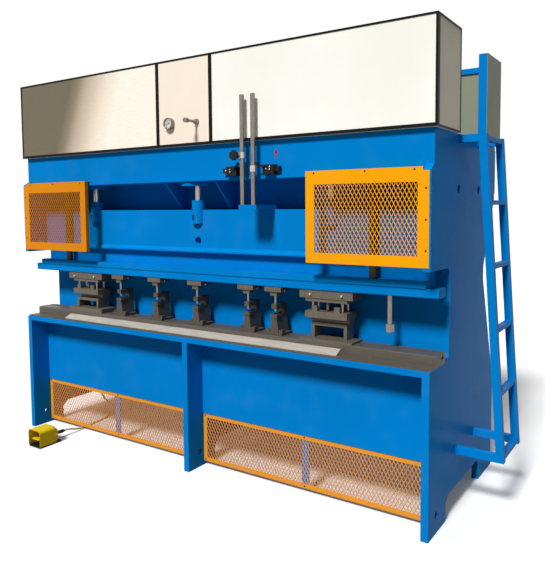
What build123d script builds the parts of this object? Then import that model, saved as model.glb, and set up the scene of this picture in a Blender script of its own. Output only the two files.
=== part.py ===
from build123d import *
import math
import os

# Hydraulic C-frame punching press with seven tool stations.
# Millimetres, X along the machine, Y from the front to the back, Z up.
# Depths named "depth", "front" or "back" are measured back from the front plane of the legs.
# The origin is on the floor, in the middle of the centre leg's front foot.

# Driving sizes of the frame
frame_width = 3150
plate = 40
front_foot = 265
rear_foot = 275
frame_depth = 1150
table_top = 855
table_thickness = 30
throat_depth = 290
throat_rise = 60
throat_radius = 45
wall = 20
wall_foot = 600
head_front = 46
head_gap = 175
head_height = 215
foot_arch = 130
arch_corner = 40
rear_knee = 600
waist_heights = (1220, 1300)
waist_depth = 920
rear_hip = 1700
rear_step = 10
lifting_hole_depths = (426, 795)
lifting_hole_drop = 74
lifting_hole_radius = 25
anchor_hole = (113, 95)
anchor_hole_radius = 20
gusset_x = 205
gusset_thickness = 16
gusset_height = 225
gusset_front = 70
tie_thickness = 12
low_tie = (200, 560)
high_tie_drop = (300, 40)

# Driving sizes of the ram and its guides
stroke = 20
side_gap = 15
ram_height = 365
ram_thickness = 80
neck_step = 30
lip_rise = 95
lip_half = 1150
lip_depth = 12
ledge_gap = 17
ledge_front = 98
ledge_thickness = 35
tool_plate_half = 1583
tool_plate_front = 103
tool_plate_width = 100
tool_plate_thickness = 48
daylight = 287
handling_hole = (0, 170)
handling_hole_radius = 24
guide_x = 1400
guide_width = 100
rail_thickness = 28
bracket_x = (464, 587)
bracket_front = -40
bracket_seat = 20
bracket_thickness = 27

# Driving sizes of the bed
bed_front = 100
bed_back = 238
bed_height = 60
lip_front = 15
wear_lip = 8
slot_depth = 190
slot_neck = 18
slot_width = 32
slot_head = 16
strip_x = (-1190, 1045)
strip_front = 40
strip_edge = 5
strip_rise = 28
strip_flat = 12

# Driving sizes of the covers
cover_overhang = 21
cover_front = 18
cover_depth = 359
cover_height = 530
sheet = 3
trim = 3
panel_edges = (-218, -193, 208, 233)
rear_cover_front = 940
rear_cover_depth = 310
rear_cover_height = 520
post_size = 50
rail_size = 40
rail_drop = (110, 78)

# Driving sizes of the gauge and the valve
gauge_x = -100
gauge_rise = 142
gauge_radius = 36
gauge_rim = 5
gauge_deep = 28
gauge_well = 14
needle_pin = 2
valve_x = 113
valve_rise = 138
valve_stem = 16
knob_reach = 92
knob_radius = 14
knob_length = 34

# Driving sizes of the guards
guard_width = 684
guard_height = 489
guard_overlap = 27
guard_side_gap = 8
guard_border = 55
notch_height = 19
low_guard_bottom = 25
low_guard_top = 342
low_guard_depth = 150
low_guard_border = 26
stiffener_x = 783
stiffener = (50, 5)
panel_depth = 145
panel_thickness = 8
diamond_pitch = 88
diamond_height = 144
strand = 11

# Driving sizes of the cylinders and stroke stops
cylinder_x = 1222
barrel_gap = 6
rod_gap = 5
rod_diameter = 46
barrel_diameter = 100
barrel_wall = 10
barrel_height = 500
flange_overhang = 22
flange_thickness = 20
piston_height = 40
stop_x = 955
stop_setback = 8
stop_flange = 220
stop_flange_thickness = 25
stop_rod = 40
sleeve_outer = 83
sleeve_inner = 58
sleeve_length = 147
sleeve_rise = 60
sleeve_cap = 15
sleeve_floor = 12
stop_nut = 54
nut_heights = (34, 28)

# Driving sizes of the trip rods and limit switches
trip_x = (474, 549)
trip_depth = -12
trip_diameter = 28
trip_rise = 257
collar_rises = (115, 37)
collar_height = 34
collar_wall = 5
lug_length = 50
lug_depth = 9
knob_offset = 34
knob_front = 44
switch_rise = 21
switch_height = 54
switch_front = 6
switch_lengths = (12, 62, 92)
pivot_rise = 62
pivot_boss = 12
lever_depth = -8
lever_thickness = 5
lever_reach = 38
lever_end = 5.5
lever_pin = 4
roller_radius = 9
roller_width = 9
roller_gaps = (9, 2)

# Driving sizes of the narrow punch units
unit_x = (-705, -357, -7, 395, 592)
unit_width = 34
unit_nose = 122
unit_back = 236
unit_throat_back = 196
unit_throat_rise = 122
unit_throat_height = 33
unit_arm = 27
throat_corner = 8
column_foot = 60
unit_base = (112, 14)
clamp_size = (24, 34, 18)
die_holder = (46, 20)
button_diameter = 24
button_depth = 12
button_proud = 3
punch_depth = 141
punch_diameter = 16
punch_gap = 15
adaptor_width = 115
adaptor_depths = (108, 200)
adaptor_height = 30
holder_width = 46
holder_depths = (118, 164)
holder_height = 25

# Driving sizes of the wide die sets
die_set_x = (-1045, 940)
cap_widths = (350, 333)
foot_widths = (350, 333)
foot_heights = (30, 12)
base_fronts = (130, 152)
die_width = 262
die_front = 112
die_thickness = 37
die_overhang = 6
slab_width = 240
slab_front = 168
slab_thickness = 31
leg_width = 20
leg_span = 224
bridge_thickness = 19
shelf_thickness = 15
post_x = 92
post_depths = (140, 205)
post_diameter = 16
block_x = 70
block_width = 34
block_height = 30
block_depth = 16
sheet_gap = 23
shoe_thickness = 20
shoe_hang = 67

# Driving sizes of the spare tool
spare_x = 1302
spare_depth = 155
spare_length = 157
spare_shank = 28
spare_head = (24, 40)
spare_tip = (22, 12, 4)

# Driving sizes of the ladder
ladder_tube = 40
ladder_front = 440
ladder_back = 772
ladder_foot_height = 310
ladder_drop = 5
ladder_reach = (235, 120)
rung_count = 6
rung_size = (34, 24)

# Driving sizes of the tank and the motor
tank_x = (-620, 260)
tank_depths = (470, 860)
tank_height = 330
tank_corner = 20
lid_overhang = 12
lid_thickness = 8
filler = (120, 100, 80, 52)
motor_x = -120
motor_flange = (125, 18)
motor_body = (100, 130)
motor_rib = (24, 5)
motor_ribs = 8
motor_cap = (108, 24)

# Driving sizes of the foot pedal
pedal_x = -1170
pedal_front = -268
pedal_back = -138
pedal_half = 65
pedal_corner = 12
base_thickness = 10
base_tail = 50
hood_height = 122
hood_shoulder = 22
hood_neck = (48, 0.42, 0.62)
ear_place = 40
ear_thickness = 8
ear_height = 40
ear_length = 28
hinge_setback = 14
hinge_height = 27
hinge_pin = 5
treadle_length = 106
treadle_width = 72
treadle_height = 50

# Driving sizes of the gland, the conduit and the terminal box
conduit_diameter = 14
gland_z = 45
gland_steps = (16, 14, 25, 20)
gland_radii = (14, 10.5, 13, 8.5)
box_size = (60, 120, 120)
box_depth = 560
box_foot = 212
box_corner = 6
entry_depth = 618
entry_inset = 30
entry_length = 24

# Clearances
running = 0.3
seat = 0.05
nut_gap = 0.5

# Heights and depths that follow from the sizes above
half = frame_width / 2
inner = half - plate
front = -front_foot / 2
bed_top = table_top + bed_height
tool_plate_bottom = bed_top + daylight
ledge_bottom = tool_plate_bottom + tool_plate_thickness
ledge_top = ledge_bottom + ledge_thickness
cylinder_depth = head_front + wall + barrel_gap + barrel_diameter / 2
ram_face = cylinder_depth + rod_diameter / 2 + rod_gap
ram_back = ram_face + ram_thickness
ram_neck = ram_face + neck_step
stop_depth = ram_face + stop_setback
ram_half = inner - side_gap
ledge_half = inner - ledge_gap
ram_lip = ledge_top + lip_rise
ram_top = ledge_top + ram_height
head_bottom = ram_top + head_gap
deck_top = head_bottom + head_height
throat_top = ledge_top + throat_rise
wall_back = throat_depth + wall
cover_half = half + cover_overhang
cover_top = deck_top + cover_height
shell_front = cover_front + trim + sheet
panel_face = cover_front + trim
cover_back = cover_front + cover_depth
sleeve_top = ram_top + sleeve_rise
sleeve_bottom = sleeve_top - sleeve_length
guard_top = head_bottom + guard_overlap
guard_bottom = guard_top - guard_height
guard_outer = half - guard_side_gap
guard_inner = guard_outer - guard_width
notch_width = guard_outer - inner

os.makedirs("parts", exist_ok=True)


def save(build, name):
    build.part.label = name
    export_step(build.part, f"parts/{name}.step")


def across(x):
    # Sketch plane that looks along X: its own x is depth from the front plane.
    return Plane(origin=(x, front, 0), x_dir=(0, 1, 0), z_dir=(1, 0, 0))


def facing(depth):
    # Sketch plane that looks back from the front, at a depth; it extrudes backwards.
    return Plane(origin=(0, front + depth, 0), x_dir=(-1, 0, 0), z_dir=(0, 1, 0))


def level(z):
    # Sketch plane seen from above, with its y as depth from the front plane.
    return Plane(origin=(0, front, z), x_dir=(1, 0, 0), z_dir=(0, 0, 1))


def add_block(x, depth, z, mode=Mode.ADD):
    # A rectangular plate between pairs of x, depth and z.
    with BuildSketch(level(z[0])) as profile:
        with Locations(((x[0] + x[1]) / 2, (depth[0] + depth[1]) / 2)):
            Rectangle(x[1] - x[0], depth[1] - depth[0])
    extrude(profile.sketch, amount=z[1] - z[0], mode=mode)


def add_round(x, depth, z, diameter, mode=Mode.ADD):
    # An upright cylinder between two heights.
    with BuildSketch(level(z[0])) as profile:
        with Locations((x, depth)):
            Circle(diameter / 2)
    extrude(profile.sketch, amount=z[1] - z[0], mode=mode)


# Side plates and centre leg

def frame_outline(top, with_head):
    # Outer edge of a C-shaped plate, from the front foot round the back to the head.
    heel = frame_depth - rear_foot
    low_corner = foot_arch - arch_corner
    points = [(0, 0), (front_foot, 0), (front_foot, low_corner), (front_foot + arch_corner, foot_arch)]
    points += [(heel - arch_corner, foot_arch), (heel, low_corner), (heel, 0)]
    points += [(frame_depth, 0), (frame_depth, rear_knee)]
    points += [(waist_depth, height) for height in waist_heights]
    points += [(frame_depth - rear_step, rear_hip), (frame_depth - rear_step, top)]
    if with_head:
        chamfer_low, chamfer_high = head_bottom + 13, head_bottom + 43
        points += [(head_front, top), (head_front, chamfer_high), (0, chamfer_low)]
        points += [(0, throat_top), (throat_depth, throat_top)]
        points += [(throat_depth, table_top), (0, table_top)]
    else:
        points += [(wall_back, top), (wall_back, wall_foot), (throat_depth, wall_foot)]
        points += [(throat_depth, table_top - table_thickness), (0, table_top - table_thickness)]
    return points


def frame_profile(x, top, with_head):
    # Sketch of one plate of the frame, with its anchor hole and, in the side plates, lifting holes
    with BuildSketch(across(x)) as profile:
        with BuildLine():
            Polyline(*frame_outline(top, with_head), close=True)
        make_face()
        if with_head:
            corners = profile.vertices().filter_by_position(Axis.X, throat_depth - 1, throat_depth + 1)
            fillet(corners, radius=throat_radius)
            with Locations(*[(depth, head_bottom - lifting_hole_drop) for depth in lifting_hole_depths]):
                Circle(lifting_hole_radius, mode=Mode.SUBTRACT)
        with Locations(anchor_hole):
            Circle(anchor_hole_radius, mode=Mode.SUBTRACT)
    return profile.sketch


with BuildPart() as side_plate_right:
    extrude(frame_profile(inner, deck_top, True), amount=plate)
save(side_plate_right, "side_plate_right")

with BuildPart() as side_plate_left:
    extrude(frame_profile(-half, deck_top, True), amount=plate)
save(side_plate_left, "side_plate_left")

with BuildPart() as centre_leg:
    extrude(frame_profile(-plate / 2, deck_top - wall, False), amount=plate)
save(centre_leg, "centre_leg")

# Table, wall, head and deck

with BuildPart() as table_plate:
    add_block((-inner, inner), (0, throat_depth), (table_top - table_thickness, table_top))
save(table_plate, "table_plate")

with BuildPart() as front_panels:
    for side in (-1, 1):
        x_range = sorted((side * plate / 2, side * inner))
        depth_range = (panel_depth, panel_depth + panel_thickness)
        add_block(x_range, depth_range, (low_guard_top, table_top - table_thickness))
save(front_panels, "front_panels")

with BuildPart() as back_wall:
    add_block((-inner, inner), (throat_depth, wall_back), (wall_foot, deck_top - wall))
save(back_wall, "back_wall")

with BuildPart() as head_beam:
    with BuildSketch(across(-inner)):
        with BuildLine():
            Polyline(
                (head_front - 8, head_bottom),
                (throat_depth, head_bottom),
                (throat_depth, head_bottom + wall),
                (head_front + wall, head_bottom + wall),
                (head_front + wall, deck_top),
                (head_front, deck_top),
                (head_front, head_bottom + wall),
                (head_front - 8, head_bottom + wall),
                close=True,
            )
        make_face()
    extrude(amount=2 * inner)
    for x in (-gusset_x, gusset_x):
        with BuildSketch(across(x - gusset_thickness / 2)):
            with BuildLine():
                gusset_foot = (throat_depth, head_bottom - gusset_height)
                Polyline((gusset_front, head_bottom), (throat_depth, head_bottom), gusset_foot, close=True)
            make_face()
        extrude(amount=gusset_thickness)
    bore = barrel_diameter + 2 * seat
    for x in (-cylinder_x, cylinder_x):
        add_round(x, cylinder_depth, (head_bottom - 1, head_bottom + wall + 1), bore, Mode.SUBTRACT)
save(head_beam, "head_beam")

with BuildPart() as deck_plate:
    deck_depth = (head_front + wall, frame_depth - rear_step)
    add_block((-inner, inner), deck_depth, (deck_top - wall, deck_top))
    for x in (-cylinder_x, cylinder_x):
        add_round(x, cylinder_depth, (deck_top - wall, deck_top), bore, Mode.SUBTRACT)
save(deck_plate, "deck_plate")

with BuildPart() as rear_ties:
    add_block((-half, half), (frame_depth, frame_depth + tie_thickness), low_tie)
    high_tie = [deck_top - drop for drop in high_tie_drop]
    hip_depth = frame_depth - rear_step
    add_block((-half, half), (hip_depth, hip_depth + tie_thickness), high_tie)
save(rear_ties, "rear_ties")

# Bed with its T-slot and the loose wedge strip in front of it

with BuildPart() as bed_bar:
    with BuildSketch(across(-half)):
        with BuildLine():
            neck_low = bed_top - slot_neck
            slot_low = neck_low - slot_head
            lip_top = table_top + wear_lip
            Polyline(
                (lip_front, table_top),
                (bed_back, table_top),
                (bed_back, bed_top),
                (slot_depth + slot_neck / 2, bed_top),
                (slot_depth + slot_neck / 2, neck_low),
                (slot_depth + slot_width / 2, neck_low),
                (slot_depth + slot_width / 2, slot_low),
                (slot_depth - slot_width / 2, slot_low),
                (slot_depth - slot_width / 2, neck_low),
                (slot_depth - slot_neck / 2, neck_low),
                (slot_depth - slot_neck / 2, bed_top),
                (bed_front, bed_top),
                (bed_front, lip_top),
                (lip_front, lip_top),
                close=True,
            )
        make_face()
    extrude(amount=frame_width)
    top_front = bed_bar.edges().filter_by(Axis.X).filter_by_position(Axis.Z, bed_top - 1, bed_top + 1)
    chamfer(top_front.sort_by(Axis.Y)[0], length=4)
save(bed_bar, "bed_bar")

with BuildPart() as wedge_strip:
    with BuildSketch(across(strip_x[0])):
        with BuildLine():
            low = table_top + wear_lip
            Polyline(
                (strip_front, low),
                (bed_front, low),
                (bed_front, low + strip_rise),
                (bed_front - strip_flat, low + strip_rise),
                (strip_front, low + strip_edge),
                close=True,
            )
        make_face()
    extrude(amount=strip_x[1] - strip_x[0])
save(wedge_strip, "wedge_strip")

# Front cover: folded shell, three panels and black edge trims

with BuildPart() as front_cover_shell:
    shell_x = cover_half - trim
    add_block((-shell_x, shell_x), (shell_front, cover_back), (deck_top, cover_top - 2))
    inner_x = shell_x - sheet
    inner_depth = (shell_front - 1, cover_back - sheet)
    add_block((-inner_x, inner_x), inner_depth, (deck_top + sheet, cover_top - 2 - sheet), Mode.SUBTRACT)
    window = (-inner + 20, inner - 20)
    add_block(window, (head_front + wall, cover_back - 40), (deck_top - 1, deck_top + sheet), Mode.SUBTRACT)
save(front_cover_shell, "front_cover_shell")

panel_spans = {
    "cover_panel_left": (-cover_half + trim, panel_edges[0] + 12),
    "cover_panel_centre": (panel_edges[0] + 12.5, panel_edges[3] - 12.5),
    "cover_panel_right": (panel_edges[3] - 12, cover_half - trim),
}
gauge_z = deck_top + gauge_rise
valve_z = deck_top + valve_rise
for name, span in panel_spans.items():
    with BuildPart() as panel:
        add_block(span, (shell_front - sheet, shell_front), (deck_top, cover_top - 2))
        if name == "cover_panel_centre":
            with BuildSketch(facing(shell_front)):
                with Locations((-valve_x, valve_z)):
                    Circle(valve_stem / 2 + running)
            extrude(amount=-sheet, mode=Mode.SUBTRACT)
    save(panel, name)

with BuildPart() as cover_trims:
    # Front lattice round the three panels
    with BuildSketch(facing(cover_front)):
        with Locations((0, (deck_top + cover_top) / 2)):
            Rectangle(2 * cover_half, cover_height)
        edges = (-cover_half + 12, *panel_edges, cover_half - 12)
        for low_x, high_x in zip(edges[0::2], edges[1::2]):
            low_z, high_z = deck_top + 17, cover_top - 10
            with Locations((-(low_x + high_x) / 2, (low_z + high_z) / 2)):
                Rectangle(high_x - low_x, high_z - low_z, mode=Mode.SUBTRACT)
    extrude(amount=trim)
    # Side lattices
    for x in (-cover_half, cover_half - trim):
        with BuildSketch(across(x)):
            middle = (cover_front + trim + cover_back) / 2
            with Locations((middle, (deck_top + cover_top) / 2)):
                Rectangle(cover_depth - trim, cover_height)
            with Locations((middle + 9, (deck_top + cover_top) / 2)):
                Rectangle(cover_depth - trim - 30, cover_height - 20, mode=Mode.SUBTRACT)
        extrude(amount=trim)
save(cover_trims, "cover_trims")

# Pressure gauge and pressure valve knob on the centre panel

gauge_front = panel_face - gauge_deep
with BuildPart() as gauge_case:
    with BuildSketch(facing(gauge_front)):
        with Locations((-gauge_x, gauge_z)):
            Circle(gauge_radius)
    extrude(amount=gauge_deep)
    chamfer(gauge_case.faces().sort_by(Axis.Y)[0].edges(), length=2)
    with BuildSketch(facing(gauge_front)):
        with Locations((-gauge_x, gauge_z)):
            Circle(gauge_radius - gauge_rim)
    extrude(amount=gauge_well, mode=Mode.SUBTRACT)
    with BuildSketch(facing(gauge_front + gauge_well)):
        with Locations((-gauge_x, gauge_z)):
            Circle(needle_pin + seat)
    extrude(amount=gauge_rim, mode=Mode.SUBTRACT)
save(gauge_case, "gauge_case")

with BuildPart() as gauge_needle:
    needle_front = gauge_front + gauge_well - 5
    with BuildSketch(facing(needle_front)):
        with Locations((-gauge_x, gauge_z)):
            Circle(2 * needle_pin)
            Polygon((-2, -8), (2, -8), (0, gauge_radius - 11), rotation=-135, align=None)
    extrude(amount=1.5)
    with BuildSketch(facing(needle_front + 1.5)):
        with Locations((-gauge_x, gauge_z)):
            Circle(needle_pin)
    extrude(amount=8)
save(gauge_needle, "gauge_needle")

with BuildPart() as gauge_glass:
    with BuildSketch(facing(gauge_front + 2)):
        with Locations((-gauge_x, gauge_z)):
            Circle(gauge_radius - gauge_rim - seat)
    extrude(amount=2)
save(gauge_glass, "gauge_glass")

with BuildPart() as valve_knob:
    # Turned about its own axis, then carried on a stem through the panel
    axis = Axis((valve_x, front, valve_z), (0, 1, 0))
    with BuildSketch(Plane(origin=(valve_x, front, valve_z), x_dir=(0, 1, 0), z_dir=(1, 0, 0))):
        with BuildLine():
            knob_back = knob_length - knob_reach
            Polyline(
                (-knob_reach, 0),
                (-knob_reach, knob_radius - 3),
                (3 - knob_reach, knob_radius),
                (knob_back - 4, knob_radius),
                (knob_back, valve_stem / 2),
                (shell_front + 6, valve_stem / 2),
                (shell_front + 6, 0),
                close=True,
            )
        make_face()
    revolve(axis=axis, revolution_arc=360)
save(valve_knob, "valve_knob")

# Cylinders and their rods

barrel_foot = head_bottom - flange_thickness
barrel_top = barrel_foot + barrel_height
with BuildPart() as cylinder_barrels:
    for x in (-cylinder_x, cylinder_x):
        centre = Axis((x, front + cylinder_depth, 0), (0, 0, 1))
        bore = barrel_diameter / 2 - barrel_wall
        rod_hole = rod_diameter / 2 + running
        flange = barrel_diameter / 2 + flange_overhang
        gland_top = barrel_foot + 3 * flange_thickness
        with BuildSketch(across(x)):
            with BuildLine():
                Polyline(
                    (cylinder_depth + rod_hole, barrel_foot),
                    (cylinder_depth + flange, barrel_foot),
                    (cylinder_depth + flange, head_bottom),
                    (cylinder_depth + barrel_diameter / 2, head_bottom),
                    (cylinder_depth + barrel_diameter / 2, barrel_top),
                    (cylinder_depth, barrel_top),
                    (cylinder_depth, barrel_top - flange_thickness),
                    (cylinder_depth + bore, barrel_top - flange_thickness),
                    (cylinder_depth + bore, gland_top),
                    (cylinder_depth + rod_hole, gland_top),
                    close=True,
                )
            make_face()
        revolve(axis=centre, revolution_arc=360)
save(cylinder_barrels, "cylinder_barrels")

with BuildPart() as piston_rods:
    piston_low = barrel_top - flange_thickness - piston_height - stroke
    piston_size = barrel_diameter - 2 * barrel_wall - 2 * running
    for x in (-cylinder_x, cylinder_x):
        add_round(x, cylinder_depth, (ledge_top, piston_low), rod_diameter)
        add_round(x, cylinder_depth, (piston_low, piston_low + piston_height), piston_size)
save(piston_rods, "piston_rods")

# Stroke stops: a rod hangs from the head into a sleeve on the ram, and its nut stops the cap

stop_places = (-stop_x, 0, stop_x)
nut_top = sleeve_top - sleeve_cap - stroke - nut_gap
nut_split = nut_top - nut_heights[0]
stop_end = nut_split - nut_heights[1] - 26
with BuildPart() as stop_rods:
    for x in stop_places:
        flange_bottom = head_bottom - stop_flange_thickness
        add_round(x, stop_depth, (stop_end, flange_bottom), stop_rod)
        add_round(x, stop_depth, (flange_bottom, head_bottom), stop_flange)
save(stop_rods, "stop_rods")

with BuildPart() as stop_nuts:
    # Stop nut and the jam nut under it
    for x in stop_places:
        jam_low = nut_split - nut_heights[1] - 2
        for low, height in ((nut_split, nut_heights[0]), (jam_low, nut_heights[1])):
            with BuildSketch(level(low)):
                with Locations((x, stop_depth)):
                    RegularPolygon(stop_nut / 2, 6)
                    Circle(stop_rod / 2 + seat, mode=Mode.SUBTRACT)
            extrude(amount=height)
save(stop_nuts, "stop_nuts")

# Ram beam with its sleeves, sight slots and the trip rod bracket

with BuildPart() as ram_beam:
    with BuildSketch(across(-ram_half)):
        with BuildLine():
            Polyline(
                (ram_neck, ledge_top),
                (ram_back, ledge_top),
                (ram_back, ram_top),
                (ram_face, ram_top),
                (ram_face, ram_lip),
                (ram_neck, ram_lip),
                close=True,
            )
        make_face()
    extrude(amount=2 * ram_half)
    with BuildSketch(across(-lip_half)):
        with BuildLine():
            Polyline(
                (ram_face, ram_lip),
                (ram_face, ram_lip + 30),
                (ram_face - lip_depth, ram_lip + 10),
                (ram_face - lip_depth, ram_lip),
                close=True,
            )
        make_face()
    extrude(amount=2 * lip_half)
    for x in stop_places:
        add_round(x, stop_depth, (sleeve_bottom, sleeve_top), sleeve_outer)
    for x in stop_places:
        bore_low = sleeve_bottom + sleeve_floor
        add_round(x, stop_depth, (bore_low, sleeve_top - sleeve_cap), sleeve_inner, Mode.SUBTRACT)
        hole = stop_rod + 2 * running
        add_round(x, stop_depth, (sleeve_top - sleeve_cap, sleeve_top), hole, Mode.SUBTRACT)
        with BuildSketch(facing(stop_depth - sleeve_outer / 2 - seat)):
            with Locations((-x + 12, sleeve_bottom + 36)):
                SlotOverall(42, 20, rotation=90)
        extrude(amount=sleeve_outer / 2, mode=Mode.SUBTRACT)
    with BuildSketch(facing(ram_face)):
        with Locations((handling_hole[0], ledge_top + handling_hole[1])):
            Circle(handling_hole_radius)
    extrude(amount=50, mode=Mode.SUBTRACT)
    bracket_depth = (bracket_front, ram_face + bracket_seat)
    add_block(bracket_x, bracket_depth, (ram_top, ram_top + bracket_thickness))
save(ram_beam, "ram_beam")

with BuildPart() as ledge_plate:
    add_block((-ledge_half, ledge_half), (ledge_front, ram_back), (ledge_bottom, ledge_top))
save(ledge_plate, "ledge_plate")

with BuildPart() as tool_plate:
    tool_plate_depth = (tool_plate_front, tool_plate_front + tool_plate_width)
    add_block((-tool_plate_half, tool_plate_half), tool_plate_depth, (tool_plate_bottom, ledge_bottom))
    chamfer(tool_plate.edges().filter_by(Axis.X).group_by(Axis.Z)[0], length=3)
save(tool_plate, "tool_plate")

# Ram guides: steel rails on the wall, bronze pads on the ram

with BuildPart() as guide_rails:
    for x in (-guide_x, guide_x):
        rail_x = (x - guide_width / 2, x + guide_width / 2)
        add_block(rail_x, (throat_depth - rail_thickness, throat_depth), (ledge_top + 5, head_bottom - 35))
save(guide_rails, "guide_rails")

with BuildPart() as guide_pads:
    for x in (-guide_x, guide_x):
        pad_x = (x - guide_width / 2 + 5, x + guide_width / 2 - 5)
        add_block(pad_x, (ram_back, throat_depth - rail_thickness), (ledge_top + 45, ram_top - 20))
save(guide_pads, "guide_pads")

# Trip rods, collars and clamp knob

collar_z = [head_bottom + rise for rise in collar_rises]
collar_radius = trip_diameter / 2 + collar_wall
trip_top = deck_top + trip_rise
with BuildPart() as trip_rods:
    for x in trip_x:
        add_round(x, trip_depth, (ram_top + bracket_thickness, trip_top), trip_diameter)
    chamfer(trip_rods.faces().group_by(Axis.Z)[-1].edges(), length=2)
save(trip_rods, "trip_rods")

with BuildPart() as trip_collars:
    for x, z in zip(trip_x, collar_z):
        add_round(x, trip_depth, (z, z + collar_height), 2 * collar_radius)
    lug_x = (trip_x[0] - lug_length, trip_x[0])
    lug_z = (collar_z[0] + 5, collar_z[0] + collar_height - 5)
    add_block(lug_x, (trip_depth - lug_depth, trip_depth + lug_depth), lug_z)
    for x, z in zip(trip_x, collar_z):
        add_round(x, trip_depth, (z, z + collar_height), trip_diameter + 2 * seat, Mode.SUBTRACT)
save(trip_collars, "trip_collars")

with BuildPart() as clamp_knob:
    # Star knob turned as a shallow disc with a hub, its lobes cut between five scallops
    knob_z = collar_z[0] + collar_height / 2
    knob_x = trip_x[0] - knob_offset
    disc_back = trip_depth - knob_front + 18
    with BuildSketch(facing(trip_depth - knob_front)):
        with Locations((-knob_x, knob_z)):
            Circle(29)
            with PolarLocations(35, 6):
                Circle(11, mode=Mode.SUBTRACT)
    extrude(amount=18)
    with BuildSketch(facing(disc_back)):
        with Locations((-knob_x, knob_z)):
            Circle(9)
    extrude(amount=trip_depth - lug_depth - disc_back)
save(clamp_knob, "clamp_knob")

# Limit switches on the head, one on each side of the trip rods

switch_low = head_bottom + switch_rise
switch_high = switch_low + switch_height
lever_pivot_z = head_bottom + pivot_rise
pivot_distance = trip_diameter / 2 + roller_radius + lever_reach
lever_pivots = (trip_x[0] - pivot_distance - roller_gaps[0], trip_x[1] + pivot_distance + roller_gaps[1])
with BuildPart() as switch_bodies:
    for pivot_x, away in zip(lever_pivots, (-1, 1)):
        near_x, end_x, tail_end = [pivot_x + away * length for length in switch_lengths]
        body_x = sorted((2 * pivot_x - near_x, end_x))
        add_block(body_x, (switch_front, head_front), (switch_low, switch_high))
        tail_x = sorted((end_x, tail_end))
        add_block(tail_x, (16, 40), (switch_low + 16, switch_high - 10))
        with BuildSketch(facing(switch_front)):
            with Locations((-pivot_x, lever_pivot_z)):
                Circle(pivot_boss)
        extrude(amount=lever_depth + lever_thickness + 1 - switch_front)
        with BuildSketch(facing(lever_depth + lever_thickness)):
            with Locations((-pivot_x, lever_pivot_z)):
                Circle(lever_pin + seat)
        extrude(amount=22, mode=Mode.SUBTRACT)
save(switch_bodies, "switch_bodies")


def build_lever(pivot_x, toward, roller_z):
    # Arm, pivot pin and roller of one switch, seen from the front
    pivot = (-pivot_x, lever_pivot_z)
    roller = (-pivot_x - toward * lever_reach, roller_z)
    with BuildPart() as lever:
        with BuildSketch(facing(lever_depth)):
            with Locations(pivot, roller):
                Circle(lever_end)
            make_hull()
        extrude(amount=lever_thickness)
        with BuildSketch(facing(lever_depth + lever_thickness)):
            with Locations(pivot):
                Circle(lever_pin)
        extrude(amount=18)
        with BuildSketch(facing(lever_depth - roller_width)):
            with Locations(roller):
                Circle(roller_radius)
        extrude(amount=roller_width)
    return lever


left_lever = build_lever(lever_pivots[0], 1, collar_z[0] - stroke - roller_radius - 1)
save(left_lever, "switch_lever_left")
right_lever = build_lever(lever_pivots[1], -1, collar_z[1] + collar_height + roller_radius + 1)
save(right_lever, "switch_lever_right")

# Guards: sheet frame with a diamond grille in one piece


def diamond_grille(x, z):
    # Cuts staggered diamonds out of the sketch, clipped to the opening between x and z.
    wide, tall = diamond_pitch - strand, diamond_height - 2 * strand
    columns = math.ceil((x[1] - x[0]) / diamond_pitch / 2) + 1
    rows = math.ceil((z[1] - z[0]) / diamond_height) + 1
    middle = ((x[0] + x[1]) / 2, (z[0] + z[1]) / 2)
    places = []
    for row in range(-rows, rows + 1):
        shift = diamond_pitch / 2 if row % 2 else 0
        for column in range(-columns, columns + 1):
            place = (column * diamond_pitch + shift, row * diamond_height / 2)
            inside_x = abs(place[0]) < (x[1] - x[0]) / 2 + wide / 4
            inside_z = abs(place[1]) < (z[1] - z[0]) / 2 + tall / 4
            if inside_x and inside_z:
                places.append((middle[0] + place[0], middle[1] + place[1]))
    with BuildSketch(mode=Mode.PRIVATE) as holes:
        with Locations(*places):
            Polygon((-wide / 2, 0), (0, -tall / 2), (wide / 2, 0), (0, tall / 2))
        with Locations(middle):
            Rectangle(x[1] - x[0], z[1] - z[0], mode=Mode.INTERSECT)
    add(holes.sketch, mode=Mode.SUBTRACT)


def build_upper_guard(side):
    # The sheet plane looks back, so its own x runs to the left.
    with BuildPart() as guard:
        with BuildSketch(facing(-sheet)):
            low, high = sorted((-side * guard_inner, -side * guard_outer))
            with Locations(((low + high) / 2, (guard_bottom + guard_top) / 2)):
                Rectangle(guard_width, guard_top - guard_bottom)
            notch_x = -side * (guard_outer + inner) / 2
            with Locations((notch_x, guard_top - notch_height / 2)):
                Rectangle(notch_width, notch_height, mode=Mode.SUBTRACT)
            opening_x = (low + guard_border, high - guard_border)
            diamond_grille(opening_x, (guard_bottom + guard_border, guard_top - guard_border - 15))
        extrude(amount=sheet)
        flange_x = sorted((side * guard_inner, side * inner))
        add_block(flange_x, (0, head_front), (guard_top - sheet, guard_top))
        side_x = sorted((side * guard_inner, side * (guard_inner + sheet)))
        add_block(side_x, (0, 25), (guard_bottom, guard_top - sheet))
        foot_x = sorted((side * (guard_inner + sheet), side * (inner - 5)))
        add_block(foot_x, (0, 18), (guard_bottom, guard_bottom + sheet))
    return guard


save(build_upper_guard(-1), "upper_guard_left")
save(build_upper_guard(1), "upper_guard_right")


def build_lower_guard(side):
    with BuildPart() as guard:
        with BuildSketch(facing(low_guard_depth)):
            low, high = sorted((-side * plate / 2, -side * inner))
            with Locations(((low + high) / 2, (low_guard_bottom + low_guard_top) / 2)):
                Rectangle(high - low, low_guard_top - low_guard_bottom)
            opening_x = (low + low_guard_border, high - low_guard_border)
            opening_z = (low_guard_bottom + low_guard_border, low_guard_top - low_guard_border)
            diamond_grille(opening_x, opening_z)
        extrude(amount=sheet)
    return guard


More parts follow.
